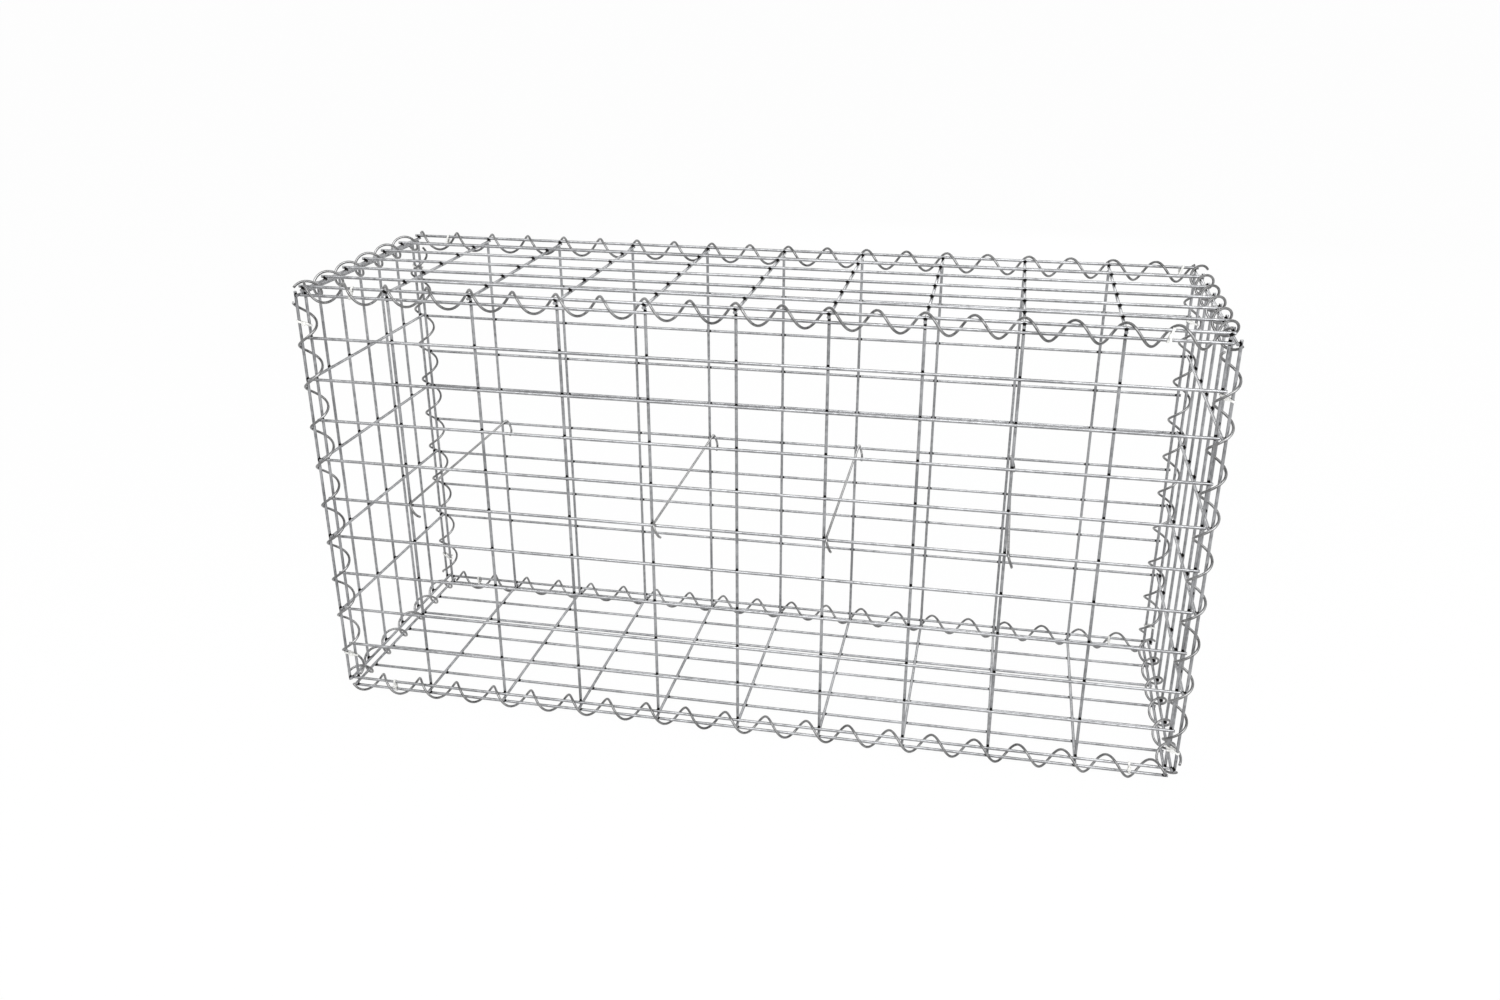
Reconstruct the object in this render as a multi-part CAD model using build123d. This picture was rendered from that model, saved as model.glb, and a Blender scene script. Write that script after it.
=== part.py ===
"""Gabion basket: a welded wire-mesh box, laced along all twelve edges by wire spirals.

Millimetres. X runs along the basket, the front faces -Y, and Z is up. The mesh is laid out from
the lowest wire of the front panel, and every piece is lifted at the end, so the basket stands on z = 0.
"""
import os
from math import cos, pi, radians, sin, sqrt

from build123d import *

# The basket, measured between the edge wires of its panels.
length = 1000.0             # along X
depth = 300.0               # along Y
height = 500.0              # along Z
line_pitch = 50.0           # between line wires, the outer layer of every panel
cross_pitch = 100.0         # between cross wires, the inner layer

# Wires.
panel_wire = 4.0            # diameter of the mesh wire
spiral_wire = 3.0           # diameter of the lacing wire
tie_wire = 3.0              # diameter of the tie wire
overhang = 4.0              # from an edge wire's centre to the cut ends that pass it
clearance = 0.3             # between a piece and what it lies against

# Lacing spirals. All are right-handed, and the short ones stop before the corners.
spiral_diameter = 22.5      # across the wire's centre line
spiral_pitch = line_pitch   # one turn to a line wire
sides_per_turn = 6
upright_inset = 8.0         # from a corner to the end of an upright spiral
end_inset = 4.0             # from a corner to the end of a spiral on a short edge

# Ties, which keep the front and the back panel at their distance.
tie_columns = (1, 4, 6, 8)  # cross wires beside which they lie, counted from the left end
tie_row = 5                 # line wire on which they hang, counted from the bottom
hook_drop = 20.0            # from a tie's run down to the tip of its hook
hook_reach = 4.0            # from the line wire out to the hook's back
hook_return = 10.0          # from the hook's back in to its tip

# Each wire is a bar of few sides with the round wire's section area.
bar_flats = panel_wire * sqrt(pi / (8 * (sqrt(2) - 1)))   # octagon, across its flats
bar_corner = bar_flats / 2 / cos(pi / 8)                  # octagon, centre to corner
spiral_side = spiral_wire * sqrt(pi) / 2                  # square
tie_side = tie_wire * sqrt(pi) / 2                        # square

# The lid, the bottom and the two ends lie just outside the cut ends of the front and back panels.
cross_offset = overhang + clearance + bar_flats / 2       # their cross wires, past a front edge wire
line_offset = cross_offset + bar_flats                    # their line wires

# A spiral's bends lie far enough out for its mean radius to be the round one's. Its axis is
# this far inside the outermost wire of its edge.
bend_radius = spiral_diameter / (1 + cos(pi / sides_per_turn))
hang = bend_radius * cos(pi / sides_per_turn) - spiral_side / sqrt(2) - clearance - bar_corner


def places(span, pitch):
    """Wire places from one edge of a panel to the other, centred on zero."""
    count = round(span / pitch)
    return [span * (i / count - 0.5) for i in range(count + 1)]


def bar(plane, span):
    """A straight eight-sided bar, centred on zero, with cut ends past the edge wires."""
    section = plane * RegularPolygon(bar_corner, 8, rotation=22.5)
    return extrude(section, span / 2 + overhang, both=True)


def panel(lines, crosses):
    """One mesh panel: its line wires and cross wires touch flat to flat and are welded there."""
    return lines[0].fuse(*lines[1:], *crosses)


def side_panel(side):
    """The front (-1) or the back (+1): line wires along X, outside upright cross wires."""
    y = side * depth / 2
    line, cross = bar(Plane.YZ, length), bar(Plane.XY, height)
    return panel([Pos(0, y, z + height / 2) * line for z in places(height, line_pitch)],
                 [Pos(x, y - side * bar_flats, height / 2) * cross for x in places(length, cross_pitch)])


def end_panel(side):
    """The left (-1) or the right (+1) end: upright line wires, outside cross wires along Y."""
    x = side * length / 2
    line, cross = bar(Plane.XY, height), bar(Plane.XZ, depth)
    return panel([Pos(x + side * line_offset, y, height / 2) * line for y in places(depth, line_pitch)],
                 [Pos(x + side * cross_offset, 0, z + height / 2) * cross for z in places(height, cross_pitch)])


def level_panel(side):
    """The bottom (-1) or the lid (+1): line wires along X, outside cross wires along Y."""
    z = height / 2 * (1 + side)
    line, cross = bar(Plane.YZ, length), bar(Plane.XZ, depth)
    return panel([Pos(0, y, z + side * line_offset) * line for y in places(depth, line_pitch)],
                 [Pos(x, 0, z + side * cross_offset) * cross for x in places(length, cross_pitch)])


def bent_bar(points, side):
    """A square bar through the points, mitred at every bend."""
    points = [Vector(*p) for p in points]
    run = (points[1] - points[0]).normalized()
    across = run.cross(Vector(0.3, 0.5, 1)).normalized() * side / 2
    up = across.cross(run)
    ring = [points[0] + a * across + b * up for a, b in ((1, 1), (-1, 1), (-1, -1), (1, -1))]
    sections = [Wire.make_polygon(ring)]
    ahead = points[2:] + [points[-1] * 2 - points[-2]]
    for before, here, after in zip(points, points[1:], ahead):
        run = (here - before).normalized()
        mitre = run + (after - here).normalized()
        ring = [p + run * ((here - p).dot(mitre) / run.dot(mitre)) for p in ring]
        sections.append(Wire.make_polygon(ring))
    return Solid.make_loft(sections, ruled=True)


def spiral(place, span, inset, start_angle):
    """A right-handed lacing spiral. place(run, a, b) puts its own axes into the basket: run goes
    along the edge, and a and b lie across it, b a quarter turn on from a."""
    pitch = span / round(span / spiral_pitch)
    runs = round((span - 2 * inset) / pitch * sides_per_turn)
    points = []
    for i in range(runs + 1):
        along = inset + (span - 2 * inset) * i / runs
        angle = radians(start_angle + 360 * along / pitch)
        points.append(place(along - span / 2, bend_radius * cos(angle), bend_radius * sin(angle)))
    return bent_bar(points, spiral_side)


def long_spiral(side, level, start_angle):
    """Along X, on the front (-1) or back (+1) edge of the lid (+1) or the bottom (-1)."""
    y = side * depth / 2
    z = height / 2 + level * (height / 2 + line_offset - hang)
    return spiral(lambda run, a, b: (run, y + a, z + b), length, 0, start_angle)


def short_spiral(side, level, start_angle):
    """Along Y, on the left (-1) or right (+1) edge of the lid (+1) or the bottom (-1)."""
    past_edge = line_offset - hang
    x = side * (length / 2 + past_edge)
    z = height / 2 + level * (height / 2 + cross_offset - sqrt(hang**2 - past_edge**2))
    return spiral(lambda run, a, b: (x + b, run, z + a), depth, end_inset, start_angle)


def upright_spiral(side, end, start_angle):
    """Along Z, on the front (-1) or back (+1) edge of the left (-1) or right (+1) end."""
    y = side * (depth - bar_flats) / 2
    x = end * (length / 2 + line_offset - sqrt(hang**2 - (bar_flats / 2)**2))
    return spiral(lambda run, a, b: (x + a, y + b, run + height / 2), height, upright_inset, start_angle)


def tie(column):
    """A tie from front to back beside a cross wire. Its hooks pass over the line wires and
    turn back under them."""
    x = places(length, cross_pitch)[column] + bar_corner + clearance + tie_side / 2
    top = tie_row * line_pitch + bar_corner + clearance + tie_side / 2
    wire_y = depth / 2
    back = wire_y + bar_corner + hook_reach
    hook = [(wire_y + bar_corner, top), (back, top - hook_reach), (back, top - hook_drop / 2),
            (back - hook_return / 3, top - hook_drop * 0.8), (back - hook_return, top - hook_drop)]
    front = [(x, -y, z) for y, z in reversed(hook)]
    rear = [(x, y, z) for y, z in hook]
    return bent_bar(front + rear, tie_side)


pieces = {
    "front_panel": side_panel(-1),
    "back_panel": side_panel(1),
    "left_end_panel": end_panel(-1),
    "right_end_panel": end_panel(1),
    "bottom_panel": level_panel(-1),
    "lid_panel": level_panel(1),
    # The angle is where the wire stands at each line wire: for a long spiral from +Y towards +Z,
    # for a short one from +Z towards +X, and for an upright one from +X towards +Y.
    "lid_front_spiral": long_spiral(-1, 1, 75),
    "lid_back_spiral": long_spiral(1, 1, 45),
    "bottom_front_spiral": long_spiral(-1, -1, 170),
    "bottom_back_spiral": long_spiral(1, -1, -45),
    "lid_left_spiral": short_spiral(-1, 1, -90),
    "lid_right_spiral": short_spiral(1, 1, 90),
    "bottom_left_spiral": short_spiral(-1, -1, -90),
    "bottom_right_spiral": short_spiral(1, -1, 90),
    "front_left_spiral": upright_spiral(-1, -1, 272),
    "front_right_spiral": upright_spiral(-1, 1, 272),
    "back_left_spiral": upright_spiral(1, -1, 135),
    "back_right_spiral": upright_spiral(1, 1, 45),
}
for number, column in enumerate(tie_columns, 1):
    pieces[f"spacer_tie_{number}"] = tie(column)

lift = -min(piece.bounding_box().min.Z for piece in pieces.values())
os.makedirs("parts", exist_ok=True)
for name, piece in pieces.items():
    export_step(Pos(0, 0, lift) * piece, f"parts/{name}.step")
print(f"{len(pieces)} pieces, lifted {lift:.2f} mm")
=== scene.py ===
# %% [markdown]
# # A gabion basket
# A gabion basket is a box of welded wire mesh that is filled with stones to make a wall. It has
# six flat panels, spirals of wire that lace their edges together, and a few wires inside that
# keep the front and the back from bulging. This lesson dresses a plain model of it, in which the
# wires are bars of few sides, with round wires, weld marks, plastic bands and zinc-coated steel.

import random
from math import cos, pi, radians, sin

import bmesh
import bpy
from mathutils import Matrix, Vector


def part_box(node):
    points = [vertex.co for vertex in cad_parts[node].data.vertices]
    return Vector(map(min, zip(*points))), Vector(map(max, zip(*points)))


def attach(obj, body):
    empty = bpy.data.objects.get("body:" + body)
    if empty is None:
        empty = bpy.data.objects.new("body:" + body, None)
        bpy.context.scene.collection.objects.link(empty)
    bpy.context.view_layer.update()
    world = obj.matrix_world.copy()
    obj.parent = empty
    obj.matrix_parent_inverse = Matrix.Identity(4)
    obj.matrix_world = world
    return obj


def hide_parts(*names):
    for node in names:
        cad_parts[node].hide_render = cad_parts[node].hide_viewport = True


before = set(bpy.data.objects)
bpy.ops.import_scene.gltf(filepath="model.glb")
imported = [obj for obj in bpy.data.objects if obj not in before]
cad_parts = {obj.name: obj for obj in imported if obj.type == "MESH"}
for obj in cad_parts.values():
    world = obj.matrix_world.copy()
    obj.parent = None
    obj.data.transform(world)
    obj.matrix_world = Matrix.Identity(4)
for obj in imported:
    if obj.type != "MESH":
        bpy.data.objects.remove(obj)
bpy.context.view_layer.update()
print("pieces of the plain model:", len(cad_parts))

# %% [markdown]
# ## The sizes
# Everything on the basket follows from the mesh: cells of 100 by 50 mm, ten by ten of them on the
# front. They could be read from the plain model's corners, but then each wire would need its own
# search. The maker's few sizes, in metres, give every wire at once. One of them differs from the
# plain model's: its mesh wire is 4 mm thick and the photograph shows a thinner one, so the wire
# is drawn 3.5 mm thick, on the same middle lines.

# %% The maker's sizes
length, depth, height = 1.0, 0.3, 0.5
line_pitch, cross_pitch = 0.05, 0.1
mesh_wire, spiral_wire, tie_wire = 0.0035, 0.003, 0.003
overhang = 0.004            # cut ends past the edge wires
layer = 0.0038947           # from the line wires to the cross wires welded on them
cross_offset = 0.006247     # from a front edge wire out to its neighbours' cross wires
line_offset = cross_offset + layer
half_x, half_y = length / 2, depth / 2
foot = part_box("front_panel")[0].z + overhang   # lowest wire of the front panel above the ground
top_z = foot + height                          # its highest wire
X, Y, Z = Vector((1, 0, 0)), Vector((0, 1, 0)), Vector((0, 0, 1))
print("front wires from", round(foot, 5), "to", round(top_z, 5), "m above the ground")

# %% [markdown]
# ## A wire
# Every wire is a long round thing with a cut end. A Bezier curve with a bevel would do for one
# wire, but a panel has dozens that belong to one piece. So a small helper lays rings of points
# along a path and joins them with faces in a bmesh. Each ring is turned from the one before by the
# least turn that follows the path, so the tube never twists.

# %% Join rings of points
def join_rings(mesh, rings, smooth, closed=False):
    """Joins rings of points with faces, and either caps the two ends or joins them too."""
    sides = len(rings[0])
    for one, two in zip(rings, rings[1:] + rings[:1] if closed else rings[1:]):
        for k in range(sides):
            face = mesh.faces.new((one[k], one[(k + 1) % sides], two[(k + 1) % sides], two[k]))
            face.smooth = smooth
    if not closed:
        mesh.faces.new(reversed(rings[0]))
        mesh.faces.new(rings[-1])


# %% Lay a round wire along a path
scorch_and_shade_reach = 0.0044       # from a weld's middle to where its burn and painted joint shade fade out


def lay_wire(mesh, path, radii, sides=12, welds=None):
    """Adds a closed tube to the bmesh, with one radius or one for each ring. welds names the weld
    nearest to each ring, or None: the layer "weld" is 1 at a weld and fades to 0 around it."""
    weld_nearness = mesh.verts.layers.float.get("weld") or mesh.verts.layers.float.new("weld")
    path = [Vector(p) for p in path]
    run = (path[1] - path[0]).normalized()
    across = run.orthogonal().normalized()
    if isinstance(radii, float):
        radii = [radii] * len(path)
    rings = []
    for i, here in enumerate(path):
        ahead = (path[min(i + 1, len(path) - 1)] - path[max(i - 1, 0)]).normalized()
        across = run.rotation_difference(ahead) @ across
        run = ahead
        up = run.cross(across)
        ring = []
        for k in range(sides):
            turn = 2 * pi * k / sides
            vert = mesh.verts.new(here + radii[i] * (cos(turn) * across + sin(turn) * up))
            if welds and welds[i]:
                vert[weld_nearness] = max(0.0, 1 - (vert.co - welds[i]).length / scorch_and_shade_reach)
            ring.append(vert)
        rings.append(ring)
    join_rings(mesh, rings, smooth=True)


# %% Finish a piece
def finish_piece(mesh, name, material):
    """Turns the bmesh into an object of the scene."""
    data = bpy.data.meshes.new(name)
    mesh.to_mesh(data)
    mesh.free()
    data.materials.append(material)
    piece = bpy.data.objects.new(name, data)
    bpy.context.scene.collection.objects.link(piece)
    print(f"{name}: {len(data.polygons)} faces")
    return piece


# %% [markdown]
# ## Zinc-coated steel
# The wire is steel with a dull zinc coat. Zinc is a metal, so the shader is fully metallic, but
# the coat is uneven: it has pale and dark patches a few millimetres long, and it is rougher in
# some of them. A coarse and a fine noise make the patches, and a third, finer one makes the grain
# as a bump. An image of zinc would need unwrapped wires, and these noises need nothing. A metal
# has the brightness of what it mirrors, and here that is a white room, so the greys are darker
# than the wire looks.

# %% Clouds and numbers for a material
def noise(tree, scale, detail):
    """A cloudy pattern in the object's own space, as a number from 0 to 1."""
    place = tree.nodes.new("ShaderNodeTexCoord")
    cloud = tree.nodes.new("ShaderNodeTexNoise")
    cloud.inputs["Scale"].default_value = scale
    cloud.inputs["Detail"].default_value = detail
    tree.links.new(place.outputs["Object"], cloud.inputs["Vector"])
    return cloud.outputs["Fac"]


def spread(tree, number, from_low, from_high, to_low, to_high):
    """Stretches a number from one range to another."""
    ruler = tree.nodes.new("ShaderNodeMapRange")
    for name, value in (("From Min", from_low), ("From Max", from_high),
                        ("To Min", to_low), ("To Max", to_high)):
        ruler.inputs[name].default_value = value
    tree.links.new(number, ruler.inputs["Value"])
    return ruler.outputs["Result"]


def work_out(tree, operation, *numbers):
    """One sum, on fixed numbers or on those of other nodes."""
    node = tree.nodes.new("ShaderNodeMath")
    node.operation = operation
    for socket, number in zip(node.inputs, numbers):
        if isinstance(number, float):
            socket.default_value = number
        else:
            tree.links.new(number, socket)
    return node.outputs[0]


# %% Colour and grain
def tint(tree, number, low, high, dark, pale):
    """A colour that goes from dark to pale as the number goes from low to high."""
    ramp = tree.nodes.new("ShaderNodeValToRGB")
    for stop, colour in zip(ramp.color_ramp.elements, (dark, pale)):
        stop.color = (*colour, 1)
    tree.links.new(spread(tree, number, low, high, 0.0, 1.0), ramp.inputs["Fac"])
    return ramp.outputs["Color"]


def add_grain(tree, shader, scale, strength, distance):
    """A fine grain on the surface, as a bump."""
    bump = tree.nodes.new("ShaderNodeBump")
    bump.inputs["Strength"].default_value = strength
    bump.inputs["Distance"].default_value = distance
    tree.links.new(noise(tree, scale, 2.0), bump.inputs["Height"])
    tree.links.new(bump.outputs["Normal"], shader.inputs["Normal"])


# %% Burnt zinc and painted shade near the welds
# Black near the welds: partly burnt zinc, partly painted shade in the joint between the wires.
soot_and_shade = (0.012, 0.011, 0.011, 1)
ragged = 0.3                # how far the patches push the edge of the black about
scorch_and_shade_edge = (0.36, 0.44)  # nearness at which the coat starts to darken, and at which it is black


def scorch_and_shade(tree, colour, patches):
    """Turns a colour black near the welds, with a ragged edge. The black is burnt zinc, and also
    painted shade in the joint between the wires.
    """
    weld = tree.nodes.new("ShaderNodeAttribute")
    weld.attribute_name = "weld"
    weld_nearness = work_out(tree, "MULTIPLY_ADD", patches, ragged, weld.outputs["Fac"])
    burnt_and_shaded = tree.nodes.new("ShaderNodeMix")
    burnt_and_shaded.data_type = "RGBA"
    burnt_and_shaded.inputs["B"].default_value = soot_and_shade
    tree.links.new(spread(tree, weld_nearness, *scorch_and_shade_edge, 0.0, 1.0), burnt_and_shaded.inputs["Factor"])
    tree.links.new(colour, burnt_and_shaded.inputs["A"])
    return burnt_and_shaded.outputs["Result"]


# %% Mix a zinc coat
patch_sums = (0.8, 1.2)       # sums of the two noises at which the grey is darkest and palest
shine_change = (-0.08, 0.1)   # how far the roughness falls and rises from patch to patch


def zinc(name, dark, pale, roughness, burnt_and_shaded=False):
    """A zinc coat between two greys. If asked, it turns black near the welds: burnt zinc, and
    painted shade in the joints.
    """
    material = bpy.data.materials.new(name)
    material.use_nodes = True
    tree = material.node_tree
    shader = tree.nodes["Principled BSDF"]
    shader.inputs["Metallic"].default_value = 1.0
    patches, clouds = noise(tree, scale=180.0, detail=4.0), noise(tree, scale=14.0, detail=2.0)
    both = work_out(tree, "ADD", patches, clouds)
    colour = tint(tree, both, *patch_sums, dark, pale)
    if burnt_and_shaded:
        colour = scorch_and_shade(tree, colour, patches)
    tree.links.new(colour, shader.inputs["Base Color"])
    smooth, rough = (roughness + change for change in shine_change)
    tree.links.new(spread(tree, patches, 0.0, 1.0, smooth, rough), shader.inputs["Roughness"])
    add_grain(tree, shader, scale=1000.0, strength=0.25, distance=0.0001)
    print("mixed", name)
    return material


# The mesh wires turn black near their welds: burnt zinc, and painted shade in the joints.
mesh_zinc = zinc("mesh_zinc", (0.23, 0.233, 0.24), (0.4, 0.405, 0.415), roughness=0.3,
                 burnt_and_shaded=True)
spiral_zinc = zinc("spiral_zinc", (0.14, 0.14, 0.141), (0.27, 0.27, 0.272), roughness=0.28)
tie_zinc = zinc("tie_zinc", (0.17, 0.17, 0.17), (0.3, 0.3, 0.3), roughness=0.28)

# %% [markdown]
# ## The welded panels
# A panel is two layers of straight wires. A machine presses each crossing together and sends a
# current through it, so some metal is squeezed out of the joint, and the zinc around it burns
# black. The black painted round each joint is partly that burn and partly painted shade, from the
# narrow gap where the wires meet. A grid with a wireframe modifier would be quick, but it puts
# both layers in one plane. Each wire is laid by itself, with closer rings at each crossing for the
# edge of the black. A small flat bead lies in each joint, and it also fills the gap of 0.4 mm that
# the thinner wires leave there.

# %% Wires with joints painted black, for burnt zinc and shade
ring_steps = (-0.0045, -0.003, -0.0015, 0.0, 0.0015, 0.003, 0.0045)   # rings near a crossing


def mesh_bar(mesh, start, along, span, crossings, joint):
    """One straight mesh wire from start. joint leads from its middle line to its welds."""
    path, welds = [start - along * overhang], [None]
    for crossing in crossings:
        for step in ring_steps:
            if -overhang < crossing + step < span + overhang:
                path.append(start + along * (crossing + step))
                welds.append(start + along * crossing + joint)
    path.append(start + along * (span + overhang))
    welds.append(None)
    lay_wire(mesh, path, mesh_wire / 2, welds=welds)


# %% A bead of squeezed-out metal
chance = random.Random(11)
bead_radius = (0.0019, 0.0022)            # the smallest and the largest
bead_wobble = (0.93, 1.05)                # how uneven a bead is
bead_rings = (                            # height across the joint, share of the radius
    (-0.0011, 0.35), (-0.0007, 0.85), (0.0, 1.0), (0.0007, 0.85), (0.0011, 0.35))


def weld_bead(mesh, place, flat):
    """A flat, uneven bead in the joint between two wires, thin along the way flat."""
    radius = chance.uniform(*bead_radius)
    path, radii = [], []
    for level, share in bead_rings:
        path.append(place + flat * level)
        radii.append(radius * share * chance.uniform(*bead_wobble))
    lay_wire(mesh, path, radii, sides=8, welds=[place] * len(path))


# %% A panel of two layers
def places(span, pitch):
    """Wire places across a panel, centred on zero."""
    count = round(span / pitch)
    return [span * (i / count - 0.5) for i in range(count + 1)]


def weld_panel(name, corner, along, over, span_along, span_over, inward):
    """A panel with line wires along one way, and cross wires on their inward side."""
    corner = Vector(corner)
    line_at = [p + span_over / 2 for p in places(span_over, line_pitch)]
    cross_at = [p + span_along / 2 for p in places(span_along, cross_pitch)]
    joint = inward * layer / 2
    mesh = bmesh.new()
    for p in line_at:
        mesh_bar(mesh, corner + over * p, along, span_along, cross_at, joint)
    for p in cross_at:
        mesh_bar(mesh, corner + along * p + inward * layer, over, span_over, line_at, -joint)
    for p in line_at:
        for q in cross_at:
            weld_bead(mesh, corner + over * p + along * q + joint, inward)
    return finish_piece(mesh, name, mesh_zinc)


# %% The six panels
left_x, right_x = -half_x - line_offset, half_x + line_offset
bottom_z, lid_z = foot - line_offset, top_z + line_offset
panels = {
    "front_panel": weld_panel("front_mesh", (-half_x, -half_y, foot), X, Z, length, height, Y),
    "back_panel": weld_panel("back_mesh", (-half_x, half_y, foot), X, Z, length, height, -Y),
    "left_end_panel": weld_panel("left_end_mesh", (left_x, -half_y, foot),
                                 Z, Y, height, depth, X),
    "right_end_panel": weld_panel("right_end_mesh", (right_x, -half_y, foot),
                                  Z, Y, height, depth, -X),
    "bottom_panel": weld_panel("bottom_mesh", (-half_x, -half_y, bottom_z),
                               X, Y, length, depth, Z),
    "lid_panel": weld_panel("lid_mesh", (-half_x, -half_y, lid_z), X, Y, length, depth, -Z),
}
for node, piece in panels.items():
    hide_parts(node)
    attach(piece, "root")

# %% [markdown]
# ## The lacing spirals
# Two panels meet at each edge with a wire each, side by side. A spiral is screwed on from one
# end, one turn to a cell, and its wire goes round both. Blender has a spiral add-on, but it is
# simpler to write down the circle: the point goes round while it moves along. All turn as a
# screw does, to the right.

# %% A spiral along an edge
spiral_radius = 0.01125                   # to the middle of its wire
spiral_pitch = line_pitch                 # one turn to a cell
steps_per_turn = 28
straight = ((0, 0, 0), (0, 0, 0))
spirals = {}


def lace(edge, middle, run, first, second, span, inset, start_angle, lean):
    """A spiral whose wire stands at start_angle, from first towards second, at the edge's start.
    lean moves its two ends off the edge, as far as the room inside the spiral lets it hang."""
    middle = Vector(middle)
    steps = round((span - 2 * inset) / spiral_pitch * steps_per_turn)
    path = []
    for i in range(steps + 1):
        s = inset + (span - 2 * inset) * i / steps
        angle = radians(start_angle) + 2 * pi * s / spiral_pitch
        out = spiral_radius * (cos(angle) * first + sin(angle) * second)
        shift = Vector(lean[0]).lerp(Vector(lean[1]), s / span)
        path.append(middle + run * (s - span / 2) + out + shift)
    mesh = bmesh.new()
    lay_wire(mesh, path, spiral_wire / 2, sides=10)
    spirals[edge + "_spiral"] = finish_piece(mesh, edge + "_lacing", spiral_zinc)


# %% The three ways a spiral runs
long_z, short_z = 0.003992, 0.001564        # axes above the top front wire, or below the lowest
short_x = 0.503987                          # axes of the spirals on the short edges
upright_x, upright_y = 0.504303, 0.148053   # axes of the upright ones
short_inset, upright_inset = 0.004, 0.008   # how far they stop before the corners


def lace_long(edge, side, z, start_angle):
    """Along the front (-1) or the back (1)."""
    lace(edge, (0, side * half_y, z), X, Y, Z, length, 0, start_angle, straight)


def lace_short(edge, side, z, start_angle, lean=straight):
    """Along the left (-1) or the right (1) end."""
    lace(edge, (side * short_x, 0, z), Y, Z, X, depth, short_inset, start_angle, lean)


def lace_upright(edge, side, way, start_angle, lean=straight):
    """Up the left (-1) or the right (1) end, at the front (-1) or the back (1)."""
    middle = (side * upright_x, way * upright_y, foot + height / 2)
    lace(edge, middle, Z, X, Y, height, upright_inset, start_angle, lean)


# %% The twelve spirals
lean_in = ((0.0018, 0, 0), (0.0018, 0, 0))
lace_long("lid_front", -1, top_z + long_z, 75)
lace_long("lid_back", 1, top_z + long_z, 45)
lace_long("bottom_front", -1, foot - long_z, 170)
lace_long("bottom_back", 1, foot - long_z, -45)
lace_short("lid_left", -1, top_z + short_z, -90, lean=((0, 0, 0), (0.001, 0, 0.003)))
lace_short("lid_right", 1, top_z + short_z, 90, lean=((-0.001, 0, 0), (0, 0, 0.003)))
lace_short("bottom_left", -1, foot - short_z, -90)
lace_short("bottom_right", 1, foot - short_z, 90)
lace_upright("front_left", -1, -1, 272, lean=lean_in)
lace_upright("front_right", 1, -1, 272)
lace_upright("back_left", -1, 1, 135, lean=lean_in)
lace_upright("back_right", 1, 1, 45)
for node, piece in spirals.items():
    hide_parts(node)
    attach(piece, "root")

# %% [markdown]
# ## The ties
# Four thin wires run from the front to the back, half way up, and stop the stones from pushing
# the panels apart. Their ends are bent by hand round a mesh wire into hooks, which swing a little
# to the right, each by its own amount. A few corner points describe a tie, and a NURBS curve
# through them would round the long straight run too. So each corner is cut back and filled with a
# short bend.

# %% Round the corners of a path
largest_cut = 0.45          # share of a run that the bend at one end may take


def rounded(points, radius, steps=6):
    """The path with each corner cut back by radius, or by less on a short run, and filled."""
    points = [Vector(p) for p in points]
    path = [points[0]]
    for before, corner, after in zip(points, points[1:], points[2:]):
        back, ahead = before - corner, after - corner
        cut = min(radius, largest_cut * back.length, largest_cut * ahead.length)
        one, two = corner + back.normalized() * cut, corner + ahead.normalized() * cut
        for i in range(steps + 1):
            t = i / steps
            path.append((1 - t) ** 2 * one + 2 * t * (1 - t) * corner + t ** 2 * two)
    return path + [points[-1]]


# %% The four ties
tie_columns, tie_row = (1, 4, 6, 8), 5    # cross wires beside which they lie, and their line wire
tie_seat = 0.00374                        # from a mesh wire's middle to the tie's
tie_bend = 0.004                          # how far its corners are cut back
tie_z = foot + tie_row * line_pitch + tie_seat
swings = (0.0065, 0.0055, 0.0045, 0.005)  # how far the tip of each tie's hooks goes to the right
hook_shape = (                            # share of the swing, past the line wire, down
    (0.0, 0.0022, 0.0), (0.2, 0.0061, 0.004), (0.6, 0.0061, 0.010), (1.0, 0.0028, 0.016),
    (1.0, -0.0039, 0.020))
for number, (column, swing) in enumerate(zip(tie_columns, swings), 1):
    x = places(length, cross_pitch)[column] + tie_seat
    hook = [(x + share * swing, half_y + past, tie_z - down) for share, past, down in hook_shape]
    corners = [(a, -y, z) for a, y, z in reversed(hook)] + hook
    mesh = bmesh.new()
    lay_wire(mesh, rounded(corners, tie_bend), tie_wire / 2, sides=10)
    piece = finish_piece(mesh, f"tie_{number}", tie_zinc)
    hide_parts(f"spacer_tie_{number}")
    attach(piece, "root")

# %% [markdown]
# ## White nylon
# The bands near the corners are nylon, a milky plastic with a dull shine. A plain white would
# look painted, so a faint cloud changes its tone and its shine from place to place, and a
# fine bump breaks the highlights. Light that sinks into the plastic could be added, but on bands
# this small it would hardly show.

# %% Mix the nylon
nylon_tones = (0.62, 0.62, 0.6), (0.76, 0.76, 0.74)
nylon_roughness = (0.38, 0.55)
nylon = bpy.data.materials.new("white_nylon")
nylon.use_nodes = True
tree = nylon.node_tree
shader = tree.nodes["Principled BSDF"]
milky = noise(tree, scale=220.0, detail=3.0)
tree.links.new(tint(tree, milky, 0.0, 1.0, *nylon_tones), shader.inputs["Base Color"])
tree.links.new(spread(tree, milky, 0.0, 1.0, *nylon_roughness), shader.inputs["Roughness"])
add_grain(tree, shader, scale=900.0, strength=0.2, distance=0.0002)
print("mixed", nylon.name)

# %% [markdown]
# ## The bands
# Near every corner a narrow white nylon band holds the two edge wires together until the spirals
# are on. A band is a flat strap that runs through its own lock. A torus squeezed with a lattice
# would give a loop, but a strap that bends round one wire, runs straight and bends round the
# other is easier to lay as rings of points, as the wires are, and the lock is made of rings too.

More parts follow.
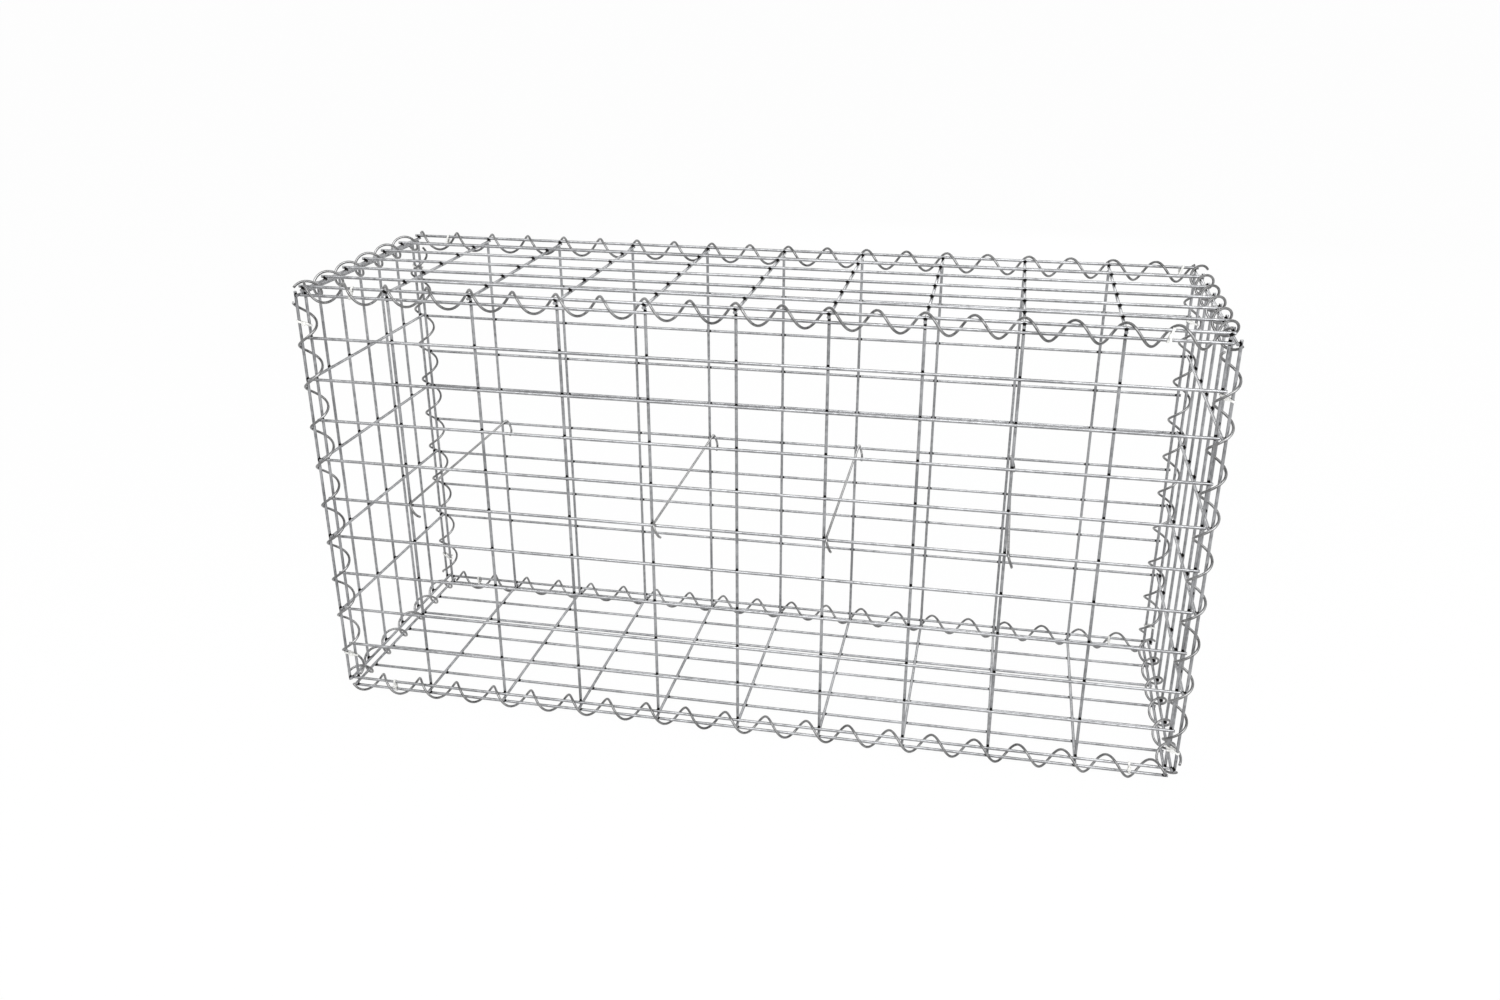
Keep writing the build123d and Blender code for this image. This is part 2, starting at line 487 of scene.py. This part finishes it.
# %% A flat ring
def flat_ring(place, wide, thick, half_wide, half_thick, edge):
    """Eight points of a rectangle whose corners are cut off by edge."""
    points = []
    for a, b in ((1, 1), (-1, 1), (-1, -1), (1, -1)):
        first = (half_wide, half_thick - edge), (half_wide - edge, half_thick)
        for w, t in first if a * b > 0 else reversed(first):
            points.append(place + wide * a * w + thick * b * t)
    return points


def loft(mesh, rings, closed=False):
    """Joins flat rings into a body with plain faces."""
    rings = [[mesh.verts.new(p) for p in ring] for ring in rings]
    join_rings(mesh, rings, smooth=False, closed=closed)


# %% The strap
band_width, band_thick = 0.0025, 0.0011
strap_edge = 0.0002                       # what is cut off its corners
bend_steps = 8                            # faces round each wire


def strap(mesh, first, second, along, apart, out, slant):
    """A closed loop round two wires. slant carries it along the wires on its way across."""
    reach = (mesh_wire + band_thick) / 2
    rings = []
    for wire, start in ((second, 0), (first, pi)):
        for i in range(bend_steps + 1):
            turn = start + pi * i / bend_steps
            face_out = cos(turn) * out + sin(turn) * apart
            place = wire + reach * face_out
            place += along * slant * (place - (first + second) / 2).dot(apart)
            rings.append(flat_ring(place, along, face_out, band_width / 2, band_thick / 2,
                                   strap_edge))
    loft(mesh, rings, closed=True)


# %% The lock and the tail
lock_edge = 0.0005
lock_rings = (                            # out from the wires, half its width, half its length
    (0.0, 0.0019, 0.0017), (0.0006, 0.0022, 0.002), (0.0028, 0.0022, 0.002),
    (0.0034, 0.0018, 0.0016))
tail_out = 0.0022                         # from the lock's foot to where the tail leaves it
tail_rings = ((-0.001, 0.0), (-0.003, 0.0002), (-0.0055, 0.0008))   # along the strap, and out
tail_half = (band_width * 0.44, band_thick * 0.45)                  # half its width and thickness


def lock_and_tail(mesh, foot_of_lock, along, apart, out):
    """A small block on the strap, and the strap's end that comes out of it."""
    loft(mesh, [flat_ring(foot_of_lock + out * rise, along, apart, wide, tall, lock_edge)
                for rise, wide, tall in lock_rings])
    tail = foot_of_lock + out * tail_out
    loft(mesh, [flat_ring(tail + apart * run + out * rise, along, out, *tail_half, strap_edge)
                for run, rise in tail_rings])


# %% A whole band
def band(name, first, second, along, out, slant):
    """A band round two wires that run along. Its lock is on the side that out points to."""
    first, second, out = Vector(first), Vector(second), Vector(out)
    apart = (second - first).normalized()
    out = (out - out.dot(apart) * apart).normalized()
    mesh = bmesh.new()
    strap(mesh, first, second, along, apart, out, slant)
    lock_and_tail(mesh, (first + second) / 2 + out * mesh_wire / 2, along, apart, out)
    piece = finish_piece(mesh, name, nylon)
    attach(piece, "root")


# %% The bands on the long edges
lid_slant, bottom_slant = 0.35, 0.1       # along the wires, for each metre across them
spots = {                                 # along the basket, on the lid and on the bottom
    "front": {"left": (-0.441, -0.447), "right": (0.443, 0.4605)},
    "back": {"left": (-0.459, -0.459), "right": (0.4836, 0.455)}}
for edge, y in (("front", -half_y), ("back", half_y)):
    for side, (lid_x, bottom_x) in spots[edge].items():
        band(f"band_lid_{edge}_{side}", (lid_x, y, top_z), (lid_x, y, lid_z),
             X, (0, y, 0), lid_slant)
        band(f"band_bottom_{edge}_{side}", (bottom_x, y, foot), (bottom_x, y, bottom_z),
             X, (0, y, 0), bottom_slant)

# %% The bands on the upright edges
upright_slant = 0.4
edge_y = half_y - layer                   # an upright edge wire of the front or the back panel
levels = {                                # above the ground
    "left": {"bottom": 0.0518, "top": 0.4845}, "right": {"bottom": 0.0417, "top": 0.461}}
for side, sign in (("left", -1), ("right", 1)):
    for edge, way in (("front", -1), ("back", 1)):
        for end, z in levels[side].items():
            band(f"band_{edge}_{side}_{end}", (sign * half_x, way * edge_y, z),
                 (sign * right_x, way * half_y, z), Z, (0, way, 0), -upright_slant * sign)

# %% [markdown]
# ## The studio
# The basket stands in a white studio. A white wall and floor would do it, but wires this thin need
# an even white behind them. So the camera, and the metal's reflections, see the floor and the air
# as plain white. A small share of the floor's own shade is mixed in, which keeps a trace of the
# basket's shadow.

# %% See white where the camera or a reflection looks
plain_white, floor_shade = (1, 1, 1, 1), (0.86, 0.86, 0.86, 1)


def seen_directly(tree, share):
    """A number that is share for camera, mirror and glass rays, and 0 for all other light."""
    rays = tree.nodes.new("ShaderNodeLightPath")
    total = rays.outputs["Is Camera Ray"]
    for kind in ("Is Glossy Ray", "Is Transmission Ray"):
        total = work_out(tree, "MAXIMUM", total, rays.outputs[kind])
    return work_out(tree, "MULTIPLY", total, share)


def show_white(tree, own, white, share, output):
    """Ends a material or the air: white where it is seen directly, and its own shade elsewhere."""
    blend = tree.nodes.new("ShaderNodeMixShader")
    tree.links.new(seen_directly(tree, share), blend.inputs["Fac"])
    tree.links.new(own.outputs[0], blend.inputs[1])
    tree.links.new(white.outputs[0], blend.inputs[2])
    tree.links.new(blend.outputs[0], tree.nodes.new(output).inputs["Surface"])


# %% The floor
paper = bpy.data.materials.new("paper_floor")
paper.use_nodes = True
tree = paper.node_tree
tree.nodes.clear()
matt = tree.nodes.new("ShaderNodeBsdfDiffuse")
matt.inputs["Color"].default_value = floor_shade
white = tree.nodes.new("ShaderNodeEmission")
white.inputs["Color"].default_value = plain_white
show_white(tree, matt, white, share=0.97, output="ShaderNodeOutputMaterial")

floor_reach = 60.0          # from the basket to each side
floor_mesh = bmesh.new()
bmesh.ops.create_grid(floor_mesh, x_segments=4, y_segments=4, size=floor_reach)
floor = finish_piece(floor_mesh, "floor", paper)

# %% [markdown]
# ## The light
# Metal shows what it mirrors, so each lamp is hung for the wires that mirror it. A long one above
# the photographer puts a bright line on the wires along the basket, one behind whitens the lid's
# short wires, and one at the right brightens the turns of the spirals. A single lamp would light
# only some of these. The air around adds an even light so that nothing goes black.

# %% The air
air_light = 0.6             # against that of a plain white room
air = bpy.data.worlds.new("air")
bpy.context.scene.world = air
air.use_nodes = True
tree = air.node_tree
tree.nodes.clear()
dim = tree.nodes.new("ShaderNodeBackground")
bright = tree.nodes.new("ShaderNodeBackground")
for shade, strength in ((dim, air_light), (bright, 1.0)):
    shade.inputs["Color"].default_value = plain_white
    shade.inputs["Strength"].default_value = strength
show_white(tree, dim, bright, share=1.0, output="ShaderNodeOutputWorld")
print("strength of the air's light:", air_light)


# %% The lamps
def lamp(name, place, aim, size, power):
    """A soft rectangular lamp, wide and high as size says, that looks at aim."""
    light = bpy.data.lights.new(name, "AREA")
    light.shape = "RECTANGLE"
    light.size, light.size_y = size
    light.energy = power
    holder = bpy.data.objects.new(name, light)
    holder.location = place
    holder.rotation_euler = (Vector(aim) - Vector(place)).to_track_quat("-Z", "Y").to_euler()
    holder.visible_camera = False
    bpy.context.scene.collection.objects.link(holder)
    print("hung", name)


basket_middle = (0, 0, 0.25)
lamp("top_lamp", place=(0.1, -1.9, 2.3), aim=(0.1, 0, 0.25), size=(3.4, 1.1), power=60.0)
lamp("back_lamp", place=(0.3, 3.0, 1.0), aim=basket_middle, size=(1.4, 1.4), power=14.0)
lamp("side_lamp", place=(2.4, -1.9, 1.35), aim=basket_middle, size=(2.4, 2.4), power=40.0)

# %% [markdown]
# ## The camera
# The photograph was taken from a little above the lid and slightly to the right, close to the
# basket, so the front looms over the back. A camera there needs a wide lens. It is held level, so
# its matrix is built from the line of sight and the upright direction.

# %% The photographer's place
eye = Vector((0.2747, -1.4222, 0.8574))
target = Vector((-0.01444, 0.0, 0.24438))
sensor_width, focal_length = 36.0, 30.138   # millimetres
lens = bpy.data.cameras.new("camera")
lens.sensor_fit = "HORIZONTAL"
lens.sensor_width, lens.lens = sensor_width, focal_length
camera = bpy.data.objects.new("camera", lens)
back = (eye - target).normalized()
right = Z.cross(back).normalized()
turned = Matrix((right, back.cross(right), back)).transposed().to_4x4()
camera.matrix_world = Matrix.Translation(eye) @ turned
bpy.context.scene.collection.objects.link(camera)
bpy.context.scene.camera = camera
bpy.context.scene.view_settings.view_transform = "Standard"
print("camera is", round((eye - target).length, 3), "m from its target")
